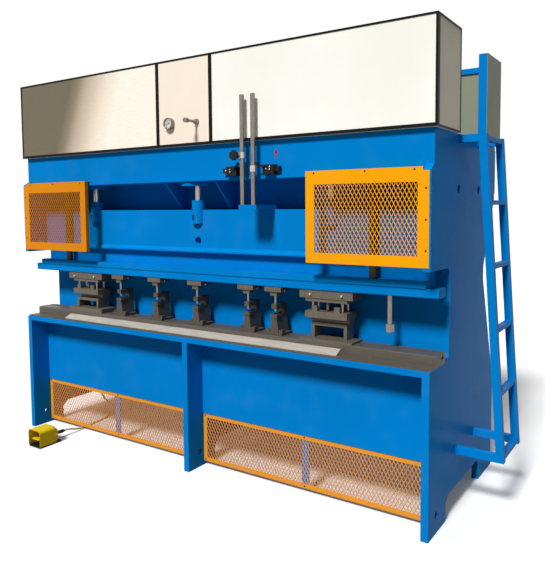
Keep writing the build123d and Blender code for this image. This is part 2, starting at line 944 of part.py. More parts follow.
save(build_lower_guard(-1), "lower_guard_left")
save(build_lower_guard(1), "lower_guard_right")

with BuildPart() as guard_stiffeners:
    for x in (-stiffener_x, stiffener_x):
        stiffener_depth = (low_guard_depth + sheet, low_guard_depth + sheet + stiffener[1])
        stiffener_span = (x - stiffener[0] / 2, x + stiffener[0] / 2)
        add_block(stiffener_span, stiffener_depth, (low_guard_bottom, low_guard_top + 60))
save(guard_stiffeners, "guard_stiffeners")

# Narrow C-shaped punch units that stand on the bed

throat_low = bed_top + unit_throat_rise
throat_high = throat_low + unit_throat_height
arm_top = throat_high + unit_arm
holder_top = tool_plate_bottom - adaptor_height
holder_bottom = holder_top - holder_height


def build_unit(x):
    # C-plate, splayed column, base with two clamps and the holder of the die button
    with BuildSketch(across(x - unit_width / 2)) as side_view:
        with BuildLine():
            Polyline(
                (unit_nose, bed_top),
                (unit_back, bed_top),
                (unit_back, arm_top),
                (unit_nose, arm_top),
                (unit_nose, throat_high),
                (unit_throat_back, throat_high),
                (unit_throat_back, throat_low),
                (unit_nose, throat_low),
                close=True,
            )
        make_face()
        corners = side_view.vertices().filter_by_position(Axis.X, unit_throat_back - 1, unit_throat_back + 1)
        fillet(corners, radius=throat_corner)
    extrude(side_view.sketch, amount=unit_width)
    base_top = bed_top + unit_base[1]
    holder_low = throat_low - die_holder[1]
    with BuildSketch(facing(unit_nose)) as front_view:
        with BuildLine():
            Polyline(
                (-x - column_foot / 2, base_top),
                (-x + column_foot / 2, base_top),
                (-x + unit_width / 2, holder_low),
                (-x - unit_width / 2, holder_low),
                close=True,
            )
        make_face()
    extrude(front_view.sketch, amount=unit_back - unit_nose)
    add_block((x - unit_base[0] / 2, x + unit_base[0] / 2), (unit_nose - 4, unit_back), (bed_top, base_top))
    for side in (-1, 1):
        clamp_x = sorted((x + side * unit_base[0] / 2, x + side * (unit_base[0] / 2 - clamp_size[0])))
        add_block(clamp_x, (unit_nose, unit_nose + clamp_size[1]), (base_top, base_top + clamp_size[2]))
    holder_x = (x - die_holder[0] / 2, x + die_holder[0] / 2)
    add_block(holder_x, (unit_nose - 4, unit_nose + 36), (holder_low, throat_low))
    add_round(x, punch_depth, (throat_high, arm_top), punch_diameter + 2 * running, Mode.SUBTRACT)
    seat_z = (throat_low - button_depth, throat_low)
    add_round(x, punch_depth, seat_z, button_diameter + 2 * seat, Mode.SUBTRACT)


with BuildPart() as punch_unit_frames:
    for x in unit_x:
        build_unit(x)
save(punch_unit_frames, "punch_unit_frames")

with BuildPart() as die_buttons:
    for x in unit_x:
        with BuildSketch(level(throat_low - button_depth)):
            with Locations((x, punch_depth)):
                Circle(button_diameter / 2)
                Circle(punch_diameter / 2 + running, mode=Mode.SUBTRACT)
        extrude(amount=button_depth + button_proud)
save(die_buttons, "die_buttons")

with BuildPart() as tool_adaptors:
    for x in unit_x:
        cap_x = (x - adaptor_width / 2, x + adaptor_width / 2)
        add_block(cap_x, adaptor_depths, (holder_top, tool_plate_bottom))
        add_block((x - holder_width / 2, x + holder_width / 2), holder_depths, (holder_bottom, holder_top))
save(tool_adaptors, "tool_adaptors")

with BuildPart() as punches:
    for x in unit_x:
        add_round(x, punch_depth, (throat_low + punch_gap, holder_bottom), punch_diameter)
save(punches, "punches")

# Wide die sets: a die plate on a bridge base, four guide posts and an upper shoe

shoe_bottom = tool_plate_bottom - shoe_hang
shoe_top = shoe_bottom + shoe_thickness
die_top = shoe_bottom - sheet_gap - block_height
plate_bottom = die_top - die_thickness
slab_bottom = plate_bottom - slab_thickness
with BuildPart() as die_set_bases:
    base_sizes = zip(die_set_x, foot_widths, foot_heights, base_fronts)
    for x, foot_width, foot_height, base_front in base_sizes:
        foot_top = bed_top + foot_height
        foot_x = (x - foot_width / 2, x + foot_width / 2)
        add_block(foot_x, (tool_plate_front, unit_back), (bed_top, foot_top))
        outside, inside = leg_span / 2, leg_span / 2 - leg_width
        with BuildSketch(facing(base_front)) as bridge:
            with BuildLine():
                Polyline(
                    (-x - outside, foot_top),
                    (-x - inside, foot_top),
                    (-x - inside, slab_bottom - bridge_thickness),
                    (-x + inside, slab_bottom - bridge_thickness),
                    (-x + inside, foot_top),
                    (-x + outside, foot_top),
                    (-x + outside, slab_bottom),
                    (-x - outside, slab_bottom),
                    close=True,
                )
            make_face()
        extrude(bridge.sketch, amount=unit_back - base_front)
        slab_x = (x - slab_width / 2, x + slab_width / 2)
        add_block(slab_x, (slab_front, unit_back), (slab_bottom, plate_bottom))
save(die_set_bases, "die_set_bases")

with BuildPart() as die_plates:
    for x in die_set_x:
        die_x = (x - die_width / 2, x + die_width / 2)
        add_block(die_x, (die_front, unit_back + die_overhang), (plate_bottom, die_top))
        for middle in (x - block_x, x + block_x):
            block_span = (middle - block_width / 2, middle + block_width / 2)
            add_block(block_span, (die_front, die_front + block_depth), (die_top, die_top + block_height))
        hole = punch_diameter + 2 * running
        add_round(x, punch_depth, (plate_bottom, die_top), hole, Mode.SUBTRACT)
save(die_plates, "die_plates")

with BuildPart() as guide_posts:
    for x in die_set_x:
        for depth in post_depths:
            for post in (x - post_x, x + post_x):
                add_round(post, depth, (die_top, shoe_top), post_diameter)
save(guide_posts, "guide_posts")

with BuildPart() as upper_shoes:
    for x, cap_width in zip(die_set_x, cap_widths):
        shoe_x = (x - die_width / 2, x + die_width / 2)
        cap_x = (x - cap_width / 2, x + cap_width / 2)
        add_block(shoe_x, (die_front + 6, unit_back + 4), (shoe_bottom, shoe_top))
        add_block(cap_x, (die_front, unit_back), (shoe_top, tool_plate_bottom))
        for depth in post_depths:
            for post in (x - post_x, x + post_x):
                hole_z = (shoe_bottom, shoe_top + stroke + 5)
                add_round(post, depth, hole_z, post_diameter + 2 * running, Mode.SUBTRACT)
        add_round(x, punch_depth, (die_top + 10, shoe_bottom), punch_diameter)
save(upper_shoes, "upper_shoes")

# Spare tool that hangs from the tool plate

with BuildPart() as hanging_rod:
    shank_end = tool_plate_bottom - spare_length
    head_end = shank_end - spare_head[1]
    tip_end = head_end - spare_tip[1]
    add_round(spare_x, spare_depth, (shank_end, tool_plate_bottom), spare_shank)
    with BuildSketch(level(head_end)):
        with Locations((spare_x, spare_depth)):
            RegularPolygon(spare_head[0], 6)
    extrude(amount=spare_head[1])
    add_round(spare_x, spare_depth, (tip_end, head_end), spare_tip[0])
    chamfer(hanging_rod.faces().sort_by(Axis.Z)[0].edges(), length=spare_tip[2])
save(hanging_rod, "hanging_rod")

# Ladder on the right side plate, welded from square tube

ladder_head_height = deck_top - ladder_drop
ladder_foot_x, ladder_head_x = [half + reach for reach in ladder_reach]
lean = math.atan2(ladder_foot_x - ladder_head_x, ladder_head_height - ladder_foot_height)


def ladder_x(z):
    # Centre of the leaning stiles at a height
    share = (z - ladder_foot_height) / (ladder_head_height - ladder_foot_height)
    return ladder_foot_x + share * (ladder_head_x - ladder_foot_x)


with BuildPart() as ladder:
    reach = ladder_tube / 2 / math.cos(lean)
    for depth in (ladder_front, ladder_back):
        with BuildSketch(facing(depth - ladder_tube / 2)):
            with BuildLine():
                Polyline(
                    (-ladder_foot_x - reach, ladder_foot_height),
                    (-ladder_foot_x + reach, ladder_foot_height),
                    (-ladder_head_x + reach, ladder_head_height),
                    (-ladder_head_x - reach, ladder_head_height),
                    close=True,
                )
            make_face()
            for bar_low in (ladder_foot_height, ladder_head_height - ladder_tube):
                bar_top = bar_low + ladder_tube
                with BuildLine():
                    Polyline(
                        (-half, bar_low),
                        (-half, bar_top),
                        (-ladder_x(bar_top) + reach, bar_top),
                        (-ladder_x(bar_low) + reach, bar_low),
                        close=True,
                    )
                make_face()
        extrude(amount=ladder_tube)
    rung_pitch = (ladder_head_height - ladder_foot_height - ladder_tube) / (rung_count - 1)
    rung_depth = (ladder_front + ladder_tube / 2, ladder_back - ladder_tube / 2)
    for rung in range(rung_count):
        rung_z = ladder_foot_height + ladder_tube / 2 + rung * rung_pitch
        rung_x = (ladder_x(rung_z) - rung_size[0] / 2, ladder_x(rung_z) + rung_size[0] / 2)
        add_block(rung_x, rung_depth, (rung_z - rung_size[1] / 2, rung_z + rung_size[1] / 2))
save(ladder, "ladder")

# Rear cover: corner posts, rails and sheet panels

rear_top = deck_top + rear_cover_height
rear_back = rear_cover_front + rear_cover_depth
rail_z = [rear_top - drop for drop in rail_drop]
with BuildPart() as rear_cover_frame:
    deck_rail = (deck_top, deck_top + rail_size)
    for side in (-1, 1):
        for depth in (rear_cover_front, rear_back - rail_size):
            post_range = sorted((side * half, side * (half - post_size)))
            add_block(post_range, (depth, depth + rail_size), (deck_top, rear_top))
    for depth in (rear_cover_front, rear_back - rail_size):
        rail_x = (-half + post_size, half - post_size)
        add_block(rail_x, (depth, depth + rail_size), rail_z)
        add_block(rail_x, (depth, depth + rail_size), deck_rail)
    for side in (-1, 1):
        side_x = sorted((side * half, side * (half - rail_size)))
        side_depth = (rear_cover_front + rail_size, rear_back - rail_size)
        add_block(side_x, side_depth, deck_rail)
        add_block(side_x, side_depth, (rear_top - rail_size, rear_top))
save(rear_cover_frame, "rear_cover_frame")

with BuildPart() as rear_cover_panels:
    panel_x = (-half + post_size, half - post_size)
    for depth in (rear_cover_front + 10, rear_back - 10 - sheet):
        add_block(panel_x, (depth, depth + sheet), (deck_top + rail_size, rail_z[0]))
    for side in (-1, 1):
        side_x = sorted((side * half, side * (half + sheet)))
        add_block(side_x, (rear_cover_front, rear_back), (deck_top + rail_size, rear_top))
save(rear_cover_panels, "rear_cover_panels")

# Hydraulic tank on the deck, with the pump motor on its lid

tank_top = deck_top + tank_height
lid_top = tank_top + lid_thickness
with BuildPart() as hydraulic_tank:
    add_block(tank_x, tank_depths, (deck_top, tank_top))
    fillet(hydraulic_tank.edges().filter_by(Axis.Z), radius=tank_corner)
    lid_x = (tank_x[0] - lid_overhang, tank_x[1] + lid_overhang)
    lid_depth = (tank_depths[0] - lid_overhang, tank_depths[1] + lid_overhang)
    add_block(lid_x, lid_depth, (tank_top, lid_top))
    filler_z = (lid_top, lid_top + filler[3])
    add_round(tank_x[0] + filler[0], tank_depths[0] + filler[1], filler_z, filler[2])
save(hydraulic_tank, "hydraulic_tank")

with BuildPart() as pump_motor:
    # Flange, ribbed casing and fan cap, standing on the lid
    motor_depth = sum(tank_depths) / 2
    casing_low = lid_top + motor_flange[1]
    casing_high = casing_low + motor_body[1]
    add_round(motor_x, motor_depth, (lid_top, casing_low), 2 * motor_flange[0])
    with BuildSketch(level(casing_low)):
        with Locations((motor_x, motor_depth)):
            Circle(motor_body[0])
            with PolarLocations(motor_body[0], motor_ribs):
                Rectangle(motor_rib[0], motor_rib[1])
    extrude(amount=motor_body[1])
    add_round(motor_x, motor_depth, (casing_high, casing_high + motor_cap[1]), 2 * motor_cap[0])
save(pump_motor, "pump_motor")

# Foot pedal: floor base, hood and treadle

neck_depth = pedal_back + hood_neck[0]
hinge_depth = pedal_back - hinge_setback
with BuildPart() as pedal_base:
    base_x = (pedal_x - pedal_half, pedal_x + pedal_half)
    add_block(base_x, (pedal_front, pedal_back + base_tail), (0, base_thickness))
    fillet(pedal_base.edges().filter_by(Axis.Z), radius=pedal_corner)
    for side in (-1, 1):
        ear_x = sorted((pedal_x + side * ear_place, pedal_x + side * (ear_place + ear_thickness)))
        add_block(ear_x, (pedal_back - ear_length, pedal_back), (base_thickness, ear_height))
    with BuildSketch(across(pedal_x - pedal_half)):
        with Locations((hinge_depth, hinge_height)):
            Circle(hinge_pin + seat)
    extrude(amount=2 * pedal_half, mode=Mode.SUBTRACT)
save(pedal_base, "pedal_base")


def hood_section(depth, inset, width_share, height_share):
    # Front view of the hood with its shoulders rounded, standing on the base
    place = Plane(origin=(pedal_x, front + depth, base_thickness), x_dir=(-1, 0, 0), z_dir=(0, 1, 0))
    side = (pedal_half - 1 - inset) * width_share
    top = (hood_height - base_thickness - inset) * height_share
    with BuildSketch(place) as profile:
        with BuildLine():
            Polyline((-side, 0), (side, 0), (side, top), (-side, top), close=True)
        make_face()
        fillet(profile.vertices().group_by(Axis.Y)[-1], radius=hood_shoulder * width_share)
    return profile.sketch


with BuildPart() as pedal_hood:
    # A straight hood that narrows behind the shoulder to the gland, then hollowed from the mouth
    mouth = hood_section(pedal_front, 0, 1, 1)
    shoulder = hood_section(pedal_back, 0, 1, 1)
    neck = hood_section(neck_depth, 0, hood_neck[1], hood_neck[2])
    extrude(mouth, amount=pedal_back - pedal_front)
    loft([shoulder, neck], ruled=True)
    hollow = hood_section(pedal_front, sheet, 1, 1)
    extrude(hollow, amount=pedal_back - pedal_front, mode=Mode.SUBTRACT)
save(pedal_hood, "pedal_hood")

with BuildPart() as pedal_treadle:
    # Bent plate with its hinge pin
    with BuildSketch(across(pedal_x - treadle_width / 2)):
        with BuildLine():
            toe = hinge_depth - treadle_length
            bend = toe + 16
            Polyline(
                (toe, treadle_height),
                (toe, treadle_height + 8),
                (bend, treadle_height + 8),
                (hinge_depth + 6, hinge_height + 9),
                (hinge_depth + 6, hinge_height - 5),
                (hinge_depth - 6, hinge_height - 5),
                (bend, treadle_height),
                close=True,
            )
        make_face()
    extrude(amount=treadle_width)
    pin_half = ear_place + ear_thickness
    with BuildSketch(across(pedal_x - pin_half)):
        with Locations((hinge_depth, hinge_height)):
            Circle(hinge_pin)
    extrude(amount=2 * pin_half)
save(pedal_treadle, "pedal_treadle")

# Cable gland, conduit and terminal box

with BuildPart() as cable_gland:
    # Hexagon against the hood, body, nut and a cone that ends at the conduit
    nut_end = neck_depth + gland_steps[0]
    body_end = nut_end + gland_steps[1]
    cone_start = body_end + gland_steps[2]
    cone_end = cone_start + gland_steps[3]
    with BuildSketch(facing(neck_depth)):
        with Locations((-pedal_x, gland_z)):
            RegularPolygon(gland_radii[0], 6)
    extrude(amount=gland_steps[0])
    with BuildSketch(facing(nut_end)):
        with Locations((-pedal_x, gland_z)):
            Circle(gland_radii[1])
    extrude(amount=gland_steps[1])
    with BuildSketch(facing(body_end)):
        with Locations((-pedal_x, gland_z)):
            Circle(gland_radii[2])
    extrude(amount=gland_steps[2])
    with BuildSketch(facing(cone_start)):
        with Locations((-pedal_x, gland_z)):
            Circle(gland_radii[2])
    with BuildSketch(facing(cone_end)):
        with Locations((-pedal_x, gland_z)):
            Circle(gland_radii[3])
    loft()
save(cable_gland, "cable_gland")

entry = (-inner + entry_inset, entry_depth, box_foot - entry_length)
with BuildPart() as terminal_box:
    box_range = (box_depth, box_depth + box_size[1])
    add_block((-inner, -inner + box_size[0]), box_range, (box_foot, box_foot + box_size[2]))
    fillet(terminal_box.edges().filter_by(Axis.X), radius=box_corner)
    nut_low = box_foot - entry_length / 2
    with BuildSketch(level(nut_low)):
        with Locations((entry[0], entry[1])):
            RegularPolygon(gland_radii[0], 6)
    extrude(amount=entry_length / 2)
    add_round(entry[0], entry[1], (entry[2], nut_low), conduit_diameter + 5)
save(terminal_box, "terminal_box")

# Route of the conduit: x, depth and height, from the pedal's gland to the terminal box
conduit_route = [
    (pedal_x, cone_end, gland_z),
    (pedal_x, 25, gland_z),
    (-1173, 90, 22),
    (-1183, 165, 9.5),
    (-1196, 250, 7.4),
    (-1211, 340, 7.3),
    (-1221, 432, 8),
    (-1246, 515, 18),
    (-1303, 580, 40),
    (-1381, 612, 50),
    (-1440, 618, 62),
    (-1482, 618, 92),
    (entry[0], entry[1], 138),
    entry,
]
conduit_points = [Vector(x, front + depth, z) for x, depth, z in conduit_route]
conduit_radii = []
for before, corner, after in zip(conduit_points, conduit_points[1:], conduit_points[2:]):
    run = min((corner - before).length, (after - corner).length)
    turn = (corner - before).get_angle(after - corner)
    conduit_radii.append(0.45 * run / math.tan(math.radians(turn) / 2))
print("conduit radii", [round(r) for r in conduit_radii])
with BuildPart() as pedal_conduit:
    with BuildLine() as conduit_path:
        FilletPolyline(*conduit_points, radius=conduit_radii)
    route = conduit_path.wire()
    start = Plane(origin=route @ 0, z_dir=route % 0)
    with BuildSketch(start):
        Circle(conduit_diameter / 2)
    sweep()
full_volume = math.pi * conduit_diameter**2 / 4 * route.length
volume_share = pedal_conduit.part.volume / full_volume
print("conduit length", round(route.length), "volume share", round(volume_share, 4))
save(pedal_conduit, "pedal_conduit")
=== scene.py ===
import bpy
import bmesh
import math
from mathutils import Matrix, Vector


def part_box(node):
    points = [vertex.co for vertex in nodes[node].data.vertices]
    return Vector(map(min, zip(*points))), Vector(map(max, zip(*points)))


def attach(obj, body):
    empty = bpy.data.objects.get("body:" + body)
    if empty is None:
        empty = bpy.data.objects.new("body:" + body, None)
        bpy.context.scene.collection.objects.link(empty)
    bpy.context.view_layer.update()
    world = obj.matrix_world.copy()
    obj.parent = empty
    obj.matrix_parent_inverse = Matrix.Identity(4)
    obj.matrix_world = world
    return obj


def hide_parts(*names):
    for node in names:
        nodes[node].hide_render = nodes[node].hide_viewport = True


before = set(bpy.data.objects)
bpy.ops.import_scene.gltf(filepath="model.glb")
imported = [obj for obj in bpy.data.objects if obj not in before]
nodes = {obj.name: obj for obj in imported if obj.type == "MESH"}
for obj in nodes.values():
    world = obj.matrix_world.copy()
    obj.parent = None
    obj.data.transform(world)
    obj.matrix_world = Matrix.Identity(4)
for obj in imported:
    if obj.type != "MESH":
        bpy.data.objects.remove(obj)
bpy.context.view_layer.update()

# Looks for the seven-station hydraulic press. Metres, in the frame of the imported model.

front = -0.1325
mm = 0.001


def depth(d):
    # World Y of a depth in millimetres behind the front plane of the legs
    return front + d * mm


# Camera, matched to the photograph

image_width, image_height = 545, 581
focal_px = 627.39
centre_px = (273.40, 251.34)
camera_place = Vector((2.6045, -3.0358, 1.6624))
yaw, pitch, roll = (math.radians(a) for a in (33.636, -4.021, -0.467))


def make_camera():
    data = bpy.data.cameras.new("photo_camera")
    camera = bpy.data.objects.new("photo_camera", data)
    bpy.context.scene.collection.objects.link(camera)
    data.sensor_width = 36
    data.lens = focal_px * 36 / image_height
    data.shift_x = (image_width / 2 - centre_px[0]) / image_height
    data.shift_y = (centre_px[1] - image_height / 2) / image_height
    look = Vector((-math.sin(yaw) * math.cos(pitch), math.cos(yaw) * math.cos(pitch), math.sin(pitch)))
    level_right = Vector((math.cos(yaw), math.sin(yaw), 0))
    level_up = level_right.cross(look)
    right = level_right * math.cos(roll) + level_up * math.sin(roll)
    up = level_up * math.cos(roll) - level_right * math.sin(roll)
    turn = Matrix((right, up, -look)).transposed().to_4x4()
    camera.matrix_world = Matrix.Translation(camera_place) @ turn
    bpy.context.scene.camera = camera


make_camera()


# Materials

def srgb(red, green, blue):
    # Linear colour of an 8-bit display colour
    parts = []
    for value in (red, green, blue):
        share = value / 255
        parts.append(share / 12.92 if share <= 0.04045 else ((share + 0.055) / 1.055) ** 2.4)
    return (*parts, 1)


def shade(colour, factor):
    return tuple(min(1, c * factor) for c in colour[:3]) + (1,)


class Surface:
    """A node material with one Principled shader and the few textures that it needs."""

    def __init__(self, name, roughness, specular, metallic=0.0):
        self.material = bpy.data.materials.new(name)
        self.material.use_nodes = True
        self.tree = self.material.node_tree
        self.shader = self.tree.nodes["Principled BSDF"]
        self.shader.inputs["Roughness"].default_value = roughness
        self.shader.inputs["Metallic"].default_value = metallic
        self.shader.inputs["Specular IOR Level"].default_value = specular
        self.place = self.node("ShaderNodeTexCoord").outputs["Object"]

    def node(self, kind, **settings):
        made = self.tree.nodes.new(kind)
        for key, value in settings.items():
            setattr(made, key, value)
        return made

    def link(self, output, target):
        self.tree.links.new(output, target)

    def stretched(self, scale):
        mapping = self.node("ShaderNodeMapping")
        mapping.inputs["Scale"].default_value = scale
        self.link(self.place, mapping.inputs["Vector"])
        return mapping.outputs["Vector"]

    def noise(self, scale, detail, stretch=(1, 1, 1)):
        texture = self.node("ShaderNodeTexNoise")
        texture.inputs["Scale"].default_value = scale
        texture.inputs["Detail"].default_value = detail
        self.link(self.stretched(stretch), texture.inputs["Vector"])
        return texture.outputs["Fac"]

    def ramp(self, factor, stops):
        ramp = self.node("ShaderNodeValToRGB")
        elements = ramp.color_ramp.elements
        while len(elements) < len(stops):
            elements.new(0.5)
        for element, (position, colour) in zip(elements, stops):
            element.position = position
            element.color = colour
        self.link(factor, ramp.inputs["Fac"])
        return ramp.outputs["Color"]

    def mix(self, factor, first, second, blend="MIX"):
        mix = self.node("ShaderNodeMix", data_type="RGBA", blend_type=blend)
        if isinstance(factor, (int, float)):
            mix.inputs["Factor"].default_value = factor
        else:
            self.link(factor, mix.inputs["Factor"])
        for value, socket in ((first, mix.inputs[6]), (second, mix.inputs[7])):
            if isinstance(value, tuple):
                socket.default_value = value
            else:
                self.link(value, socket)
        return mix.outputs[2]

    def span(self, factor, low, high):
        span = self.node("ShaderNodeMapRange")
        span.inputs["To Min"].default_value = low
        span.inputs["To Max"].default_value = high
        self.link(factor, span.inputs["Value"])
        return span.outputs["Result"]

    def colour(self, output):
        self.link(output, self.shader.inputs["Base Color"])

    def roughness(self, factor, low, high):
        self.link(self.span(factor, low, high), self.shader.inputs["Roughness"])

    def bump(self, height, strength, distance, edge):
        # Fine relief over edges that are rounded by a small radius
        bump = self.node("ShaderNodeBump")
        bump.inputs["Strength"].default_value = strength
        bump.inputs["Distance"].default_value = distance
        self.link(height, bump.inputs["Height"])
        if edge:
            bevel = self.node("ShaderNodeBevel", samples=4)
            bevel.inputs["Radius"].default_value = edge
            self.link(bevel.outputs["Normal"], bump.inputs["Normal"])
        self.link(bump.outputs["Normal"], self.shader.inputs["Normal"])


grey_dust = srgb(150, 145, 135)
handling_stain = shade(srgb(96, 78, 58), 0.9)


def make_paint(name, colour, roughness=0.4, specular=0.06, dust=grey_dust, film=0.05, edge=0.002):
    # Sprayed enamel: slow drift of tone, orange peel, and a film of dust that has settled in patches
    paint = Surface(name, roughness, specular=specular)
    drift = paint.ramp(paint.noise(1.3, 4), [(0.3, shade(colour, 0.92)), (0.7, shade(colour, 1.06))])
    patches = paint.span(paint.noise(5.5, 6), -film, film)
    paint.colour(paint.mix(patches, drift, dust))
    paint.roughness(paint.noise(9, 5), roughness - 0.06, roughness + 0.1)
    paint.bump(paint.noise(420, 2), 0.06, 0.0006, edge)
    return paint.material


def make_machined(name, colour, roughness=0.42, metallic=0.2, streak=(1, 45, 45), stain=0.35):
    # Ground or milled steel: tool marks along one axis, with brown handling stains
    steel = Surface(name, roughness, specular=0.15, metallic=metallic)
    marks = steel.noise(9, 6, streak)
    base = steel.ramp(marks, [(0.3, shade(colour, 0.78)), (0.7, shade(colour, 1.2))])
    stains = steel.span(steel.noise(14, 7), -stain, stain)
    steel.colour(steel.mix(stains, base, handling_stain))
    steel.roughness(marks, roughness - 0.1, roughness + 0.12)
    steel.bump(marks, 0.12, 0.0004, 0.0012)
    return steel.material


def make_plastic(name, colour, roughness=0.5, grain=900):
    plastic = Surface(name, roughness, specular=0.2)
    tone = plastic.ramp(plastic.noise(30, 4), [(0.35, shade(colour, 0.85)), (0.65, shade(colour, 1.1))])
    plastic.colour(tone)
    plastic.roughness(plastic.noise(60, 3), roughness - 0.08, roughness + 0.08)
    plastic.bump(plastic.noise(grain, 2), 0.1, 0.0003, 0.001)
    return plastic.material


# Lean and middle height of the edge of the painted reflection on the left panel
reflection_lean, reflection_height = 0.4, 2.33


def make_panel_gradient(name, stops):
    # Satin sheet with a painted reflection: its colour turns from dark at one end to cream at the other.
    # The stops are world X at the reflection's middle height, and the reflection's edge leans with
    # height.
    panel = Surface(name, 0.45, specular=0.1)
    low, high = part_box("cover_panel_left")
    split = panel.node("ShaderNodeSeparateXYZ")
    panel.link(panel.place, split.inputs["Vector"])
    leaning = panel.node("ShaderNodeMath", operation="MULTIPLY_ADD")
    leaning.inputs[1].default_value = -reflection_lean
    panel.link(split.outputs["Z"], leaning.inputs[0])
    panel.link(split.outputs["X"], leaning.inputs[2])
    share = panel.node("ShaderNodeMapRange")
    share.inputs["From Min"].default_value = low.x - reflection_lean * reflection_height
    share.inputs["From Max"].default_value = high.x - reflection_lean * reflection_height
    panel.link(leaning.outputs["Value"], share.inputs["Value"])
    places = [((x - low.x) / (high.x - low.x), colour) for x, colour in stops]
    tone = panel.ramp(share.outputs["Result"], places)
    grain = panel.noise(7, 5, (2, 60, 60))
    brushed = panel.ramp(grain, [(0.3, (0.92, 0.92, 0.92, 1)), (0.7, (1.04, 1.04, 1.04, 1))])
    panel.colour(panel.mix(1.0, tone, brushed, "MULTIPLY"))
    panel.roughness(grain, 0.38, 0.55)
    panel.bump(grain, 0.05, 0.0003, 0.001)
    return panel.material


def make_glass(name):
    glass = Surface(name, 0.04, specular=0.6)
    glass.shader.inputs["Transmission Weight"].default_value = 1.0
    glass.shader.inputs["IOR"].default_value = 1.45
    film = glass.ramp(glass.noise(40, 3), [(0.3, (0.93, 0.95, 0.95, 1)), (0.7, (1, 1, 1, 1))])
    glass.colour(film)
    glass.bump(glass.noise(60, 2), 0.01, 0.0002, 0)
    return glass.material


# Painted reflection on the left panel: dark at its left end, turning to cream towards the right
dark_reflection, reflection_cream = srgb(118, 109, 91), srgb(254, 248, 232)
painted_reflection_stops = [(-1.11, dark_reflection), (-1.02, srgb(147, 134, 114)), (-0.94, srgb(193, 176, 156)),
             (-0.83, srgb(222, 205, 185)), (-0.73, srgb(247, 230, 210)), (-0.6, reflection_cream)]

materials = {
    "blue": make_paint("blue_enamel", srgb(0, 125, 202), specular=0.02),
    "ram_blue": make_paint("ram_enamel", srgb(0, 127, 204), specular=0.02),
    "orange": make_paint("orange_enamel", srgb(250, 166, 10), roughness=0.42),
    # Darker copy of the upper guards' orange for the left guard: painted shade
    "shaded_left_orange": make_paint("painted_shade_orange_enamel", srgb(222, 136, 14), roughness=0.42),
    # Browner, less bright orange than the upper guards
    "lower_orange": make_paint("lower_orange_enamel", srgb(230, 150, 50), roughness=0.45),
    "cream": make_paint("cream_enamel", srgb(254, 251, 240), roughness=0.42, dust=srgb(225, 218, 204),
                        film=0.1),
    "centre_cream": make_paint("warm_cream_enamel", srgb(252, 236, 218), roughness=0.42,
                               dust=srgb(222, 210, 192), film=0.1),
    "left_panel": make_panel_gradient("satin_left_panel", painted_reflection_stops),
    "shell_cream": make_paint("shell_cream_enamel", srgb(226, 218, 200), roughness=0.45),
    # The rear cover panels are cream; this grey-green colour is painted shade
    "shaded_rear_cream": make_paint("painted_shade_cream_enamel", srgb(140, 145, 125), roughness=0.45),
    "trim": make_paint("black_trim", srgb(26, 24, 23), roughness=0.45, dust=srgb(62, 58, 54),
                       edge=0.0008),
    "tank": make_paint("tank_enamel", srgb(120, 126, 118), roughness=0.5),
    "bed": make_machined("milled_bed", srgb(96, 90, 82)),
    "tool": make_machined("tool_steel", srgb(106, 98, 87), streak=(30, 30, 3)),
    "unit_steel": make_machined("unit_steel", srgb(86, 79, 71), streak=(30, 30, 3)),
    # Dark oiled steel for small fittings; on the cylinder barrels and piston rods the darkness is
    # painted shade
    "dark_tool": make_machined("oiled_steel_and_painted_shade", srgb(52, 48, 44), roughness=0.5, streak=(20, 3, 20)),
    "strip": make_machined("ground_strip", srgb(192, 186, 176), roughness=0.38, stain=0.2),
    "rod": make_machined("ground_rod", srgb(138, 130, 123), roughness=0.27, metallic=0.8,
                         streak=(30, 30, 2), stain=0.2),
    "bright": make_machined("bright_fitting", srgb(205, 200, 192), roughness=0.28, metallic=0.6,
                            stain=0.15),
    "bronze": make_machined("bronze", srgb(170, 125, 65), roughness=0.4),
    "black": make_plastic("black_moulding", srgb(18, 18, 20)),
    "rubber": make_plastic("dark_gland", srgb(36, 34, 33), roughness=0.6),
    "conduit": make_plastic("cream_conduit", srgb(222, 214, 192), roughness=0.55, grain=300),
    "yellow": make_paint("yellow_enamel", srgb(232, 200, 25), roughness=0.4),
    "motor": make_paint("motor_enamel", srgb(70, 84, 92), roughness=0.5),
    "dial": make_plastic("dial_white", srgb(238, 236, 228), roughness=0.4),
    "dial_ink": make_plastic("dial_ink", srgb(20, 20, 22), roughness=0.5),
    "red": make_paint("red_enamel", srgb(178, 32, 42), roughness=0.45),
    "glass": make_glass("gauge_glass"),
}

dress = {
    "blue": ["side_plate_left", "side_plate_right", "centre_leg", "table_plate", "front_panels",
             "back_wall", "head_beam", "deck_plate", "rear_ties", "guard_stiffeners", "rear_cover_frame",
             "ladder", "stop_rods"],
    "ram_blue": ["ram_beam", "ledge_plate", "tool_plate"],
    "cream": ["cover_panel_right"],
    "centre_cream": ["cover_panel_centre"],
    "left_panel": ["cover_panel_left"],
    "trim": ["cover_trims"],
    "shell_cream": ["front_cover_shell"],
    # Grey-green on the cream rear panels is painted shade
    "shaded_rear_cream": ["rear_cover_panels"],
    "tank": ["hydraulic_tank", "terminal_box"],
    "bed": ["bed_bar"],
    "tool": ["die_set_bases", "die_plates", "tool_adaptors", "upper_shoes", "guide_rails"],
    "unit_steel": ["punch_unit_frames"],
    "strip": ["wedge_strip"],
    # Cylinder barrels and piston rods are darkened as painted shade, behind the lower guards
    "dark_tool": ["die_buttons", "stop_nuts", "cylinder_barrels", "piston_rods"],
    "rod": ["trip_rods", "punches", "guide_posts", "hanging_rod", "valve_knob", "gauge_case"],
    "bright": ["trip_collars"],
    "bronze": ["guide_pads"],
    "black": ["switch_bodies", "switch_lever_left", "switch_lever_right", "clamp_knob", "gauge_needle",
              "pedal_base"],
    "rubber": ["cable_gland"],
    "yellow": ["pedal_hood", "pedal_treadle"],
    "motor": ["pump_motor"],
    "glass": ["gauge_glass"],
}
